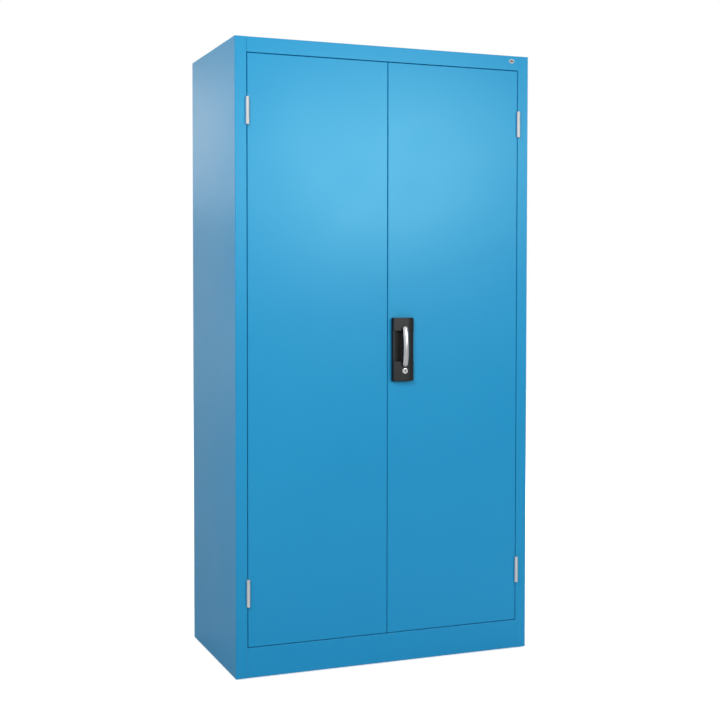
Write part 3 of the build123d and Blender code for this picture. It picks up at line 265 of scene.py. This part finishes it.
def rise_along(tree, here, axis, start, end, high=1.0):
    """A value that rises from 0 to its highest between two places on an axis."""
    parts = add_node(tree, "ShaderNodeSeparateXYZ")
    wire(tree, here, parts.inputs["Vector"])
    return ramp(tree, parts.outputs[axis], 0.0, high, start, end)


def blend_colour(tree, source, first, second):
    """A colour between two others; each is a socket or three numbers."""
    made = add_node(tree, "ShaderNodeMix", data_type="RGBA")
    wire(tree, source, made.inputs["Factor"])
    # A Mix node names its A and B once for each type; the colours are sockets 6 and 7.
    for socket, colour in ((made.inputs[6], first), (made.inputs[7], second)):
        if isinstance(colour, tuple):
            socket.default_value = (*colour, 1.0)
        else:
            wire(tree, colour, socket)
    return made.outputs[2]


def new_material(name, metallic=0.0, ior=1.45):
    """A material with its node tree, its shader and its object coordinates."""
    made = bpy.data.materials.new(name)
    made.use_nodes = True
    shader = made.node_tree.nodes["Principled BSDF"]
    shader.inputs["Metallic"].default_value = metallic
    shader.inputs["IOR"].default_value = ior
    place = add_node(made.node_tree, "ShaderNodeTexCoord")
    return made, made.node_tree, shader, place.outputs["Object"]


def bump(tree, shader, height, distance, strength):
    """A Bump node on a height, in metres, that feeds the shader's normal."""
    made = add_node(tree, "ShaderNodeBump")
    made.inputs["Strength"].default_value = strength
    made.inputs["Distance"].default_value = distance
    wire(tree, height, made.inputs["Height"])
    wire(tree, made.outputs["Normal"], shader.inputs["Normal"])


def paint_nodes(finish, *names):
    """Gives CAD nodes a finish."""
    for name in names:
        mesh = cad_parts[name].data
        mesh.materials.clear()
        mesh.materials.append(finish)


# Nearly all values of a noise lie in this span.
noise_span = (0.3, 0.7)

deep_blue = (0.0132, 0.268, 0.540)
pale_blue = (0.0165, 0.286, 0.566)
rubbed_blue = (0.05, 0.33, 0.57)
blue_coat, tree, shader, here = new_material("blue_powder_coat")
shader.inputs["Specular Tint"].default_value = (0.47, 1.0, 0.95, 1.0)
grain = place_group(tree, grain_group, here, Grain_Scale=900.0, Cloud_Scale=2.2)
rub = place_group(tree, rub_group, here, Patch_Scale=9.0, Hair_Scale=34.0, Amount=0.35)
coat = blend_colour(tree, grain.outputs["Tone"], deep_blue, pale_blue)
coat = blend_colour(tree, rub.outputs["Mask"], coat, rubbed_blue)
wire(tree, coat, shader.inputs["Base Color"])
roughness = ramp(tree, grain.outputs["Tone"], 0.30, 0.36, *noise_span)
rubbed_roughness = 0.12
rubbed = maths(tree, "MULTIPLY", rub.outputs["Mask"], rubbed_roughness)
roughness = maths(tree, "ADD", roughness, rubbed)
# Fine dust that has settled on the roof dulls its skin, down to its bent edge.
sheet = 0.0012
dust_roughness = 0.34
roof_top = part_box("top_panel")[1].z
dust = rise_along(tree, here, "Z", roof_top - sheet, roof_top - sheet / 3, high=dust_roughness)
wire(tree, maths(tree, "ADD", roughness, dust), shader.inputs["Roughness"])
bump(tree, shader, grain.outputs["Height"], distance=0.0001, strength=0.4)

paint_nodes(
    blue_coat, "left_side_panel", "right_side_panel", "top_panel", "floor_panel", "plinth_rail",
    "back_panel", "roof_stiffener",
)

# ---------------------------------------------------------------- feet
# Four small conical steel pads. Each is welded under a plate that closes a corner of the base,
# and is coated together with the carcass.

paint_nodes(blue_coat, "foot_plates", "foot_pads")

# ---------------------------------------------------------------- uprights, clips and shelves
# Slotted uprights are welded inside the side walls and coated with them. The shelves and the
# clips that hook into the slots are galvanised sheet, with the spangle that hot zinc leaves.

paint_nodes(
    blue_coat, "left_front_upright", "left_rear_upright", "right_front_upright",
    "right_rear_upright",
)

dark_spangle = (0.50, 0.515, 0.53)
pale_spangle = (0.57, 0.585, 0.595)
galvanised, tree, shader, here = new_material("galvanised_sheet", metallic=0.7)
grain = place_group(tree, grain_group, here, Grain_Scale=420.0, Cloud_Scale=6.0)
crystals = add_node(tree, "ShaderNodeTexVoronoi")
crystals.inputs["Scale"].default_value = 95.0
wire(tree, here, crystals.inputs["Vector"])
facet = add_node(tree, "ShaderNodeSeparateColor")
wire(tree, crystals.outputs["Color"], facet.inputs["Color"])
spangle = blend_colour(tree, facet.outputs["Red"], dark_spangle, pale_spangle)
wire(tree, spangle, shader.inputs["Base Color"])
wire(tree, ramp(tree, facet.outputs["Green"], low=0.46, high=0.56), shader.inputs["Roughness"])
bump(tree, shader, grain.outputs["Height"], distance=0.00008, strength=0.4)
paint_nodes(galvanised, "shelf_1", "shelf_2", "shelf_3", "shelf_4", "shelf_clips")

# ---------------------------------------------------------------- hinges
# Barrel hinges of bright white zinc: a fixed half below, the door's half above, a washer
# between them and a steel pin through both. The leaves are welded to the folded edges.

# Fine lines that turning, rolling or brushing leaves along one direction.
line_group, given, made = node_group(
    "tool_lines",
    [("Vector", VECTOR, None), ("Stretch", VECTOR, (1.0, 1.0, 0.02)),
     ("Line Scale", NUMBER, 1500.0)],
    [("Height", NUMBER)],
)
drawn = add_node(line_group, "ShaderNodeVectorMath", operation="MULTIPLY")
wire(line_group, given.outputs["Vector"], drawn.inputs[0])
wire(line_group, given.outputs["Stretch"], drawn.inputs[1])
lines = add_node(line_group, "ShaderNodeTexNoise")
wire(line_group, drawn.outputs["Vector"], lines.inputs["Vector"])
wire(line_group, given.outputs["Line Scale"], lines.inputs["Scale"])
lines.inputs["Detail"].default_value = 2.0
wire(line_group, lines.outputs["Fac"], made.inputs["Height"])


def metal_finish(name, dark, light, roughness, stretch, scale, depth, metallic=1.0):
    """A plated or polished metal with fine tool lines and slow changes of tone."""
    finish, tree, shader, here = new_material(name, metallic=metallic)
    grain = place_group(tree, grain_group, here, Grain_Scale=260.0, Cloud_Scale=22.0)
    lines = place_group(tree, line_group, here, Stretch=stretch, Line_Scale=scale)
    wire(tree, blend_colour(tree, grain.outputs["Tone"], dark, light), shader.inputs["Base Color"])
    gloss = ramp(tree, lines.outputs["Height"], *roughness, *noise_span)
    wire(tree, gloss, shader.inputs["Roughness"])
    bump(tree, shader, lines.outputs["Height"], distance=depth, strength=0.5)
    return finish


white_zinc = metal_finish(
    "white_zinc", dark=(0.56, 0.565, 0.57), light=(0.63, 0.63, 0.63), roughness=(0.42, 0.55),
    stretch=(1.0, 1.0, 4.0), scale=300.0, depth=0.00005, metallic=0.2,
)
paint_nodes(white_zinc, "hinge_washers")
for side in ("left", "right"):
    for level in ("lower", "upper"):
        paint_nodes(white_zinc, f"{side}_{level}_frame_knuckle", f"{side}_{level}_door_knuckle")

plated_steel = metal_finish(
    "plated_steel", dark=(0.47, 0.475, 0.48), light=(0.55, 0.55, 0.54), roughness=(0.34, 0.43),
    stretch=(1.0, 1.0, 0.04), scale=900.0, depth=0.00005,
)
paint_nodes(plated_steel, "hinge_pins")

# ---------------------------------------------------------------- doors
# Two folded pans with a hat-section stiffener welded down the inside of each. Rubber buffers
# on the stop lips quieten them, and steel keepers back the slots that the rods run into.

paint_nodes(
    blue_coat, "left_door_skin", "right_door_skin", "left_door_stiffener",
    "right_door_stiffener",
)
paint_nodes(plated_steel, "top_keeper", "bottom_keeper", "centre_keeper")

dark_rubber = (0.018, 0.018, 0.018)
pale_rubber = (0.032, 0.032, 0.031)
buffer_rubber, tree, shader, here = new_material("buffer_rubber", ior=1.4)
grain = place_group(tree, grain_group, here, Grain_Scale=1400.0, Cloud_Scale=90.0)
rubber = blend_colour(tree, grain.outputs["Tone"], dark_rubber, pale_rubber)
wire(tree, rubber, shader.inputs["Base Color"])
wire(tree, ramp(tree, grain.outputs["Height"], low=0.7, high=0.85), shader.inputs["Roughness"])
bump(tree, shader, grain.outputs["Height"], distance=0.0001, strength=0.5)
paint_nodes(buffer_rubber, "door_buffers")

# ---------------------------------------------------------------- spot-weld marks
# Shallow round marks, flat-topped with a dished middle, that the electrodes leave in rows along
# each welded lip: door and roof stiffeners, uprights, and the rear flanges of the side walls.

weld_rows, given, made = node_group(
    "spot_weld_rows",
    [("Geometry", "NodeSocketGeometry", None), ("Spacing", NUMBER, 0.078),
     ("Mark Radius", NUMBER, 0.003), ("Mark Height", NUMBER, 0.00025), ("Spread", NUMBER, 0.08),
     ("Seed", "NodeSocketInt", 7), ("Finish", "NodeSocketMaterial", None)],
    [("Geometry", "NodeSocketGeometry")],
    kind="GeometryNodeTree",
)
rows = add_node(weld_rows, "GeometryNodeMeshToCurve")
wire(weld_rows, given.outputs["Geometry"], rows.inputs["Mesh"])
spaced = add_node(weld_rows, "GeometryNodeResampleCurve", mode="LENGTH")
wire(weld_rows, rows.outputs["Curve"], spaced.inputs["Curve"])
wire(weld_rows, given.outputs["Spacing"], spaced.inputs["Length"])

# One mark: a flat cone whose middle, out to the dish's radius, is pressed back.
flat_share = 0.82
dish_share = 0.6
dish_depth_share = 0.6
just_above_base = 0.00001
mark = add_node(weld_rows, "GeometryNodeMeshCone")
mark.inputs["Vertices"].default_value = 14
mark.inputs["Fill Segments"].default_value = 3
flat_radius = maths(weld_rows, "MULTIPLY", given.outputs["Mark Radius"], flat_share)
wire(weld_rows, given.outputs["Mark Radius"], mark.inputs["Radius Bottom"])
wire(weld_rows, flat_radius, mark.inputs["Radius Top"])
wire(weld_rows, given.outputs["Mark Height"], mark.inputs["Depth"])
spot = add_node(weld_rows, "GeometryNodeInputPosition")
spot_parts = add_node(weld_rows, "ShaderNodeSeparateXYZ")
wire(weld_rows, spot.outputs["Position"], spot_parts.inputs["Vector"])
x_squared = maths(weld_rows, "MULTIPLY", spot_parts.outputs["X"], spot_parts.outputs["X"])
y_squared = maths(weld_rows, "MULTIPLY", spot_parts.outputs["Y"], spot_parts.outputs["Y"])
reach = maths(weld_rows, "SQRT", maths(weld_rows, "ADD", x_squared, y_squared))
dish_radius = maths(weld_rows, "MULTIPLY", given.outputs["Mark Radius"], dish_share)
dish_depth = maths(weld_rows, "MULTIPLY", given.outputs["Mark Height"], -dish_depth_share)
near = maths(weld_rows, "LESS_THAN", reach, dish_radius)
raised = maths(weld_rows, "GREATER_THAN", spot_parts.outputs["Z"], just_above_base)
sunk = maths(weld_rows, "MULTIPLY", maths(weld_rows, "MULTIPLY", near, raised), dish_depth)
drop = add_node(weld_rows, "ShaderNodeCombineXYZ")
wire(weld_rows, sunk, drop.inputs["Z"])
dished = add_node(weld_rows, "GeometryNodeSetPosition")
wire(weld_rows, mark.outputs["Mesh"], dished.inputs["Geometry"])
wire(weld_rows, drop.outputs["Vector"], dished.inputs["Offset"])

# The marks face the way that their row says, and their sizes differ a little.
facing = add_node(weld_rows, "GeometryNodeInputNamedAttribute", data_type="FLOAT_VECTOR")
facing.inputs["Name"].default_value = "facing"
turned = add_node(weld_rows, "FunctionNodeAlignRotationToVector", axis="Z")
wire(weld_rows, facing.outputs["Attribute"], turned.inputs["Vector"])
chance = add_node(weld_rows, "FunctionNodeRandomValue", data_type="FLOAT")
smallest = maths(weld_rows, "SUBTRACT", 1.0, given.outputs["Spread"])
largest = maths(weld_rows, "ADD", 1.0, given.outputs["Spread"])
# A Random Value node names its Min and Max once for each type; these two are the numbers.
wire(weld_rows, smallest, chance.inputs[2])
wire(weld_rows, largest, chance.inputs[3])
wire(weld_rows, given.outputs["Seed"], chance.inputs["Seed"])
copies = add_node(weld_rows, "GeometryNodeInstanceOnPoints")
wire(weld_rows, spaced.outputs["Curve"], copies.inputs["Points"])
wire(weld_rows, dished.outputs["Geometry"], copies.inputs["Instance"])
wire(weld_rows, turned.outputs["Rotation"], copies.inputs["Rotation"])
wire(weld_rows, chance.outputs[1], copies.inputs["Scale"])
solid = add_node(weld_rows, "GeometryNodeRealizeInstances")
wire(weld_rows, copies.outputs["Instances"], solid.inputs["Geometry"])
coated = add_node(weld_rows, "GeometryNodeSetMaterial")
wire(weld_rows, solid.outputs["Geometry"], coated.inputs["Geometry"])
wire(weld_rows, given.outputs["Finish"], coated.inputs["Material"])
wire(weld_rows, coated.outputs["Geometry"], made.inputs["Geometry"])


def standing_row(x, y, foot, head, way):
    """An upright row: its start, its end and the way that its copies face."""
    return (x, y, foot), (x, y, head), way


def scatter(name, body, rows, tree, **values):
    """Copies that a node tree sets along rows, as one plain mesh that rides a body."""
    mesh = bpy.data.meshes.new(name)
    ends = [point for start, end, _ in rows for point in (start, end)]
    mesh.from_pydata(ends, [(2 * row, 2 * row + 1) for row in range(len(rows))], [])
    faced = mesh.attributes.new("facing", "FLOAT_VECTOR", "POINT")
    for number, (_, _, way) in enumerate(rows):
        faced.data[2 * number].vector = way
        faced.data[2 * number + 1].vector = way
    piece = bpy.data.objects.new(name, mesh)
    scene.collection.objects.link(piece)
    modifier = piece.modifiers.new("rows", "NODES")
    modifier.node_group = tree
    for socket in tree.interface.items_tree:
        label = socket.name.replace(" ", "_")
        if socket.in_out == "INPUT" and label in values:
            modifier[socket.identifier] = values[label]
    evaluated = piece.evaluated_get(bpy.context.evaluated_depsgraph_get())
    plain = bpy.data.meshes.new_from_object(evaluated)
    piece.modifiers.clear()
    piece.data = plain
    plain.name = name
    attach(piece, body)


upright_sheet = 0.0015
whole_millimetres = 3

# The lips of the door stiffeners, set out on the right door and mirrored to the left one.
stiffener_low, stiffener_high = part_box("right_door_stiffener")
lip_face = stiffener_low.y + sheet
lip_inset = 0.007
end_inset = 0.0186
door_lips = (stiffener_low.x + lip_inset, stiffener_high.x - lip_inset)
door_foot = round(stiffener_low.z + end_inset, whole_millimetres)
door_head = round(stiffener_high.z - end_inset, whole_millimetres)
into_cabinet = (0.0, 1.0, 0.0)
for side, sign, seed in (("left", -1.0, 10), ("right", 1.0, 12)):
    scatter(
        f"{side}_door_weld_marks", f"{side}_door",
        [standing_row(sign * x, lip_face, door_foot, door_head, into_cabinet) for x in door_lips],
        weld_rows, Spacing=0.0785, Finish=blue_coat, Seed=seed,
    )

# The rear flanges of the side walls, the lips of the uprights and those of the roof stiffener.
above_floor = 0.0216
below_roof = 0.025
wall_foot = round(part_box("floor_panel")[1].z + above_floor, whole_millimetres)
wall_head = round(roof_top - below_roof, whole_millimetres)
back_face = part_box("back_panel")[0].y
flange_inset = 0.011
flange_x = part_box("right_side_panel")[1].x - flange_inset
front_low, front_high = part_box("right_front_upright")
rear_low, rear_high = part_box("right_rear_upright")
upright_x = front_high.x - upright_sheet
upright_inset = 0.00375
upright_lips = (
    front_low.y + upright_inset, front_high.y - upright_inset,
    rear_low.y + upright_inset, rear_high.y - upright_inset,
)
roof_low, roof_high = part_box("roof_stiffener")
roof_face = roof_high.z - sheet
roof_inset = 0.00675
roof_lips = (roof_low.y + roof_inset, roof_high.y - roof_inset)
roof_end_inset = 0.0158
roof_start = roof_low.x + roof_end_inset
roof_end = roof_high.x - roof_end_inset
forwards = (0.0, -1.0, 0.0)
downwards = (0.0, 0.0, -1.0)
carcass_rows = []
for sign in (-1.0, 1.0):
    carcass_rows.append(standing_row(sign * flange_x, back_face, wall_foot, wall_head, forwards))
for sign in (-1.0, 1.0):
    inwards = (-sign, 0.0, 0.0)
    for y in upright_lips:
        carcass_rows.append(standing_row(sign * upright_x, y, wall_foot, wall_head, inwards))
for y in roof_lips:
    carcass_rows.append(((roof_start, y, roof_face), (roof_end, y, roof_face), downwards))
scatter(
    "carcass_weld_marks", "carcass", carcass_rows, weld_rows,
    Spacing=0.095, Finish=blue_coat, Seed=23,
)

# ---------------------------------------------------------------- handle tray
# A moulded black tray around the grip: two raised panels with a scooped recess between them,
# in plastic with a fine spark-eroded grain. Two screws hold it from inside the door.

tray_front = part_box("handle_tray")[0].y
recess_starts = tray_front + 0.00235
recess_deepens = tray_front + 0.00575
dark_plastic = (0.005, 0.0055, 0.006)
pale_plastic = (0.008, 0.0085, 0.009)
recess_painted_shade = (0.004, 0.004, 0.0045)
black_plastic, tree, shader, here = new_material("black_grained_plastic", ior=1.4)
grain = place_group(
    tree, grain_group, here, Grain_Scale=1600.0, Cloud_Scale=30.0, Grain_Detail=3.0,
)
shell = blend_colour(tree, grain.outputs["Tone"], dark_plastic, pale_plastic)
# The deeper part of the scooped recess is painted darker, as the shade that falls in it.
sunken = rise_along(tree, here, "Y", recess_starts, recess_deepens)
wire(tree, blend_colour(tree, sunken, shell, recess_painted_shade), shader.inputs["Base Color"])
roughness = ramp(tree, grain.outputs["Height"], 0.30, 0.40, *noise_span)
recess_roughness = 0.25
sunken_roughness = maths(tree, "MULTIPLY", sunken, recess_roughness)
wire(tree, maths(tree, "ADD", roughness, sunken_roughness), shader.inputs["Roughness"])
bump(tree, shader, grain.outputs["Height"], distance=0.00012, strength=0.7)
paint_nodes(black_plastic, "handle_tray")
paint_nodes(plated_steel, "tray_screws")

# ---------------------------------------------------------------- bow grip
# A die-cast bow of oval section that stands on two posts over the tray's recess. It is
# satin-plated, and two screws hold it from inside the door.

satin_metal = metal_finish(
    "satin_metal", dark=(0.60, 0.60, 0.595), light=(0.66, 0.66, 0.66), roughness=(0.23, 0.28),
    stretch=(1.0, 1.0, 0.08), scale=1500.0, depth=0.000006,
)
paint_nodes(satin_metal, "bow_grip")
paint_nodes(plated_steel, "bow_screws")

# ---------------------------------------------------------------- lock cylinder
# A chromed housing with a round collar stands in a bore of the tray, held by a nut inside the door.
# The plug that turns in it is dull nickel; the inside of its keyway is painted dark as shade.

bright_chrome = metal_finish(
    "bright_chrome", dark=(0.82, 0.83, 0.84), light=(0.88, 0.88, 0.89), roughness=(0.10, 0.20),
    stretch=(1.0, 1.0, 1.0), scale=700.0, depth=0.00002,
)
paint_nodes(bright_chrome, "lock_housing")

plug_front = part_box("key_plug")[0].y
keyway_starts = plug_front + 0.00015
keyway_deepens = plug_front + 0.00095
dark_nickel = (0.40, 0.40, 0.39)
pale_nickel = (0.52, 0.52, 0.51)
keyway_painted_shade = (0.015, 0.014, 0.012)
dull_nickel, tree, shader, here = new_material("dull_nickel", metallic=1.0)
turned = place_group(tree, line_group, here, Stretch=(1.0, 0.05, 1.0), Line_Scale=1800.0)
bared = blend_colour(tree, turned.outputs["Height"], dark_nickel, pale_nickel)
# The keyway is painted near-black as it deepens, as the shade inside the slot.
keyway_shade_mask = rise_along(tree, here, "Y", keyway_starts, keyway_deepens)
wire(tree, blend_colour(tree, keyway_shade_mask, bared, keyway_painted_shade), shader.inputs["Base Color"])
wire(tree, ramp(tree, turned.outputs["Height"], 0.28, 0.4, *noise_span), shader.inputs["Roughness"])
bump(tree, shader, turned.outputs["Height"], distance=0.00002, strength=0.4)
paint_nodes(dull_nickel, "key_plug")

# ---------------------------------------------------------------- lock works
# A pinion on the key plug drives two rods and a bolt through a case that is screwed inside the
# door. All are zinc-plated steel; the guides that hold the rods are black moulded plastic.

paint_nodes(
    plated_steel, "lock_nut", "lock_case", "lock_cover", "lock_screws", "pinion", "plug_clip",
    "upper_rod", "lower_rod", "centre_bolt",
)

dark_guide = (0.022, 0.022, 0.024)
pale_guide = (0.034, 0.034, 0.036)
guide_plastic, tree, shader, here = new_material("guide_plastic")
grain = place_group(tree, grain_group, here, Grain_Scale=700.0, Cloud_Scale=40.0)
moulded = blend_colour(tree, grain.outputs["Tone"], dark_guide, pale_guide)
wire(tree, moulded, shader.inputs["Base Color"])
wire(tree, ramp(tree, grain.outputs["Tone"], low=0.36, high=0.5), shader.inputs["Roughness"])
bump(tree, shader, grain.outputs["Height"], distance=0.00005, strength=0.4)
paint_nodes(guide_plastic, "rod_guides")

# ---------------------------------------------------------------- badge plate
# A small oval metal plate stuck on the top rail. A pale raised rim runs around a sunken field
# of plain warm brown enamel, which is left empty.

badge_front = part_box("badge_plate")[0].y
field_starts = badge_front + 0.00015
field_deepens = badge_front + 0.00035
dark_rim = (0.62, 0.62, 0.63)
pale_rim = (0.70, 0.70, 0.70)
brown_field = (0.17, 0.115, 0.095)
badge_enamel, tree, shader, here = new_material("badge_enamel")
grain = place_group(tree, grain_group, here, Grain_Scale=2600.0, Cloud_Scale=160.0)
rim = blend_colour(tree, grain.outputs["Tone"], dark_rim, pale_rim)
sunken = rise_along(tree, here, "Y", field_starts, field_deepens)
wire(tree, blend_colour(tree, sunken, rim, brown_field), shader.inputs["Base Color"])
wire(tree, ramp(tree, grain.outputs["Height"], 0.4, 0.5, *noise_span), shader.inputs["Roughness"])
bump(tree, shader, grain.outputs["Height"], distance=0.00003, strength=0.4)
paint_nodes(badge_enamel, "badge_plate")
